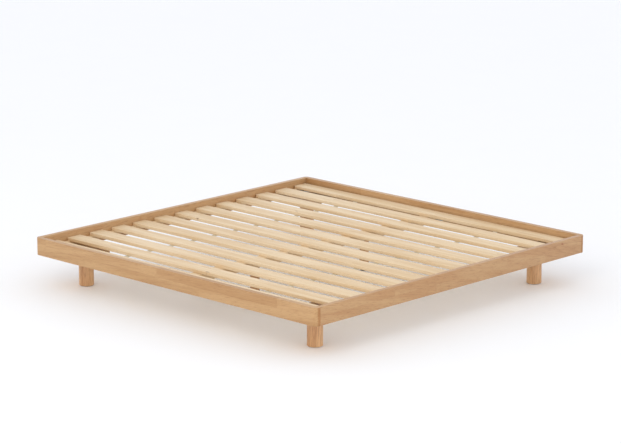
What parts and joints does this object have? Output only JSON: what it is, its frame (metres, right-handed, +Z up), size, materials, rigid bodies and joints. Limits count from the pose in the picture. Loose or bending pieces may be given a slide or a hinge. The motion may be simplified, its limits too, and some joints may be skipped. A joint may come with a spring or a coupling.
{
  "type": "bed frame",
  "caption": "Low platform bed frame in oak: plain rails with rounded corners on short round legs, a centre beam with levelling feet, and a strapped slat deck that lifts out.",
  "frame": {"origin": "on the floor, under the middle of the frame", "axes": "+Z up; +Y from the foot of the bed to its head; +X to the right of a person at the foot who looks towards the head"},
  "size_m": [2.07, 2.07, 0.264],
  "materials": {
    "oak": "solid natural oak, clear satin oil",
    "oak_leg": "turned natural oak, clear satin oil",
    "pine": "planed pine, unfinished",
    "birch_plywood": "sanded birch plywood, unfinished",
    "zinc_steel": "zinc-plated steel, satin",
    "felt": "pressed wool felt",
    "nylon": "moulded black nylon",
    "webbing": "undyed cotton webbing"
  },
  "bodies": {
    "frame": {"foot_rail": "oak", "head_rail": "oak", "side_rail_left": "oak", "side_rail_right": "oak", "leg_foot_left": "oak_leg", "leg_board_foot_left": "birch_plywood", "leg_bolt_foot_left": "zinc_steel", "felt_pad_foot_left": "felt", "corner_bracket_foot_left": "zinc_steel", "corner_bolt_foot_left_end": "zinc_steel", "corner_bolt_foot_left_side": "zinc_steel", "leg_foot_right": "oak_leg", "leg_board_foot_right": "birch_plywood", "leg_bolt_foot_right": "zinc_steel", "felt_pad_foot_right": "felt", "corner_bracket_foot_right": "zinc_steel", "corner_bolt_foot_right_end": "zinc_steel", "corner_bolt_foot_right_side": "zinc_steel", "leg_head_right": "oak_leg", "leg_board_head_right": "birch_plywood", "leg_bolt_head_right": "zinc_steel", "felt_pad_head_right": "felt", "corner_bracket_head_right": "zinc_steel", "corner_bolt_head_right_end": "zinc_steel", "corner_bolt_head_right_side": "zinc_steel", "leg_head_left": "oak_leg", "leg_board_head_left": "birch_plywood", "leg_bolt_head_left": "zinc_steel", "felt_pad_head_left": "felt", "corner_bracket_head_left": "zinc_steel", "corner_bolt_head_left_end": "zinc_steel", "corner_bolt_head_left_side": "zinc_steel", "side_ledger_left": "pine", "side_ledger_right": "pine", "end_ledger_foot": "pine", "end_ledger_head": "pine", "centre_beam": "pine", "beam_hanger_foot": "zinc_steel", "centre_leg_foot": "oak_leg", "beam_hanger_head": "zinc_steel", "centre_leg_head": "oak_leg"},
    "slat_deck": {"slat_01": "pine", "slat_02": "pine", "slat_03": "pine", "slat_04": "pine", "slat_05": "pine", "slat_06": "pine", "slat_07": "pine", "slat_08": "pine", "slat_09": "pine", "slat_10": "pine", "slat_11": "pine", "slat_12": "pine", "slat_13": "pine", "slat_strap_left": "webbing", "slat_strap_right": "webbing"},
    "leveller_foot_pad": {"leveller_pad_foot": "nylon"},
    "leveller_foot_stem": {"leveller_stem_foot": "zinc_steel"},
    "leveller_head_pad": {"leveller_pad_head": "nylon"},
    "leveller_head_stem": {"leveller_stem_head": "zinc_steel"}
  },
  "joints": [
    {"name": "slat_deck_lift", "type": "slide", "parent": "frame", "child": "slat_deck", "axis": [0, 0, 1], "range_m": [0, 0.12]},
    {"name": "leveller_foot_rise", "type": "slide", "parent": "frame", "child": "leveller_foot_pad", "axis": [0, 0, 1], "range_m": [0, 0.012]},
    {"name": "leveller_foot_turn", "type": "hinge", "parent": "leveller_foot_pad", "child": "leveller_foot_stem", "pos_m": [0, -0.42, 0], "axis": [0, 0, 1], "range_deg": [0, 2880]},
    {"name": "leveller_head_rise", "type": "slide", "parent": "frame", "child": "leveller_head_pad", "axis": [0, 0, 1], "range_m": [0, 0.012]},
    {"name": "leveller_head_turn", "type": "hinge", "parent": "leveller_head_pad", "child": "leveller_head_stem", "pos_m": [0, 0.42, 0], "axis": [0, 0, 1], "range_deg": [0, 2880]}
  ],
  "couplings": [
    {"joint": "leveller_foot_turn", "follows": "leveller_foot_rise", "rad_per_m": 4188.8},
    {"joint": "leveller_head_turn", "follows": "leveller_head_rise", "rad_per_m": 4188.8}
  ]
}
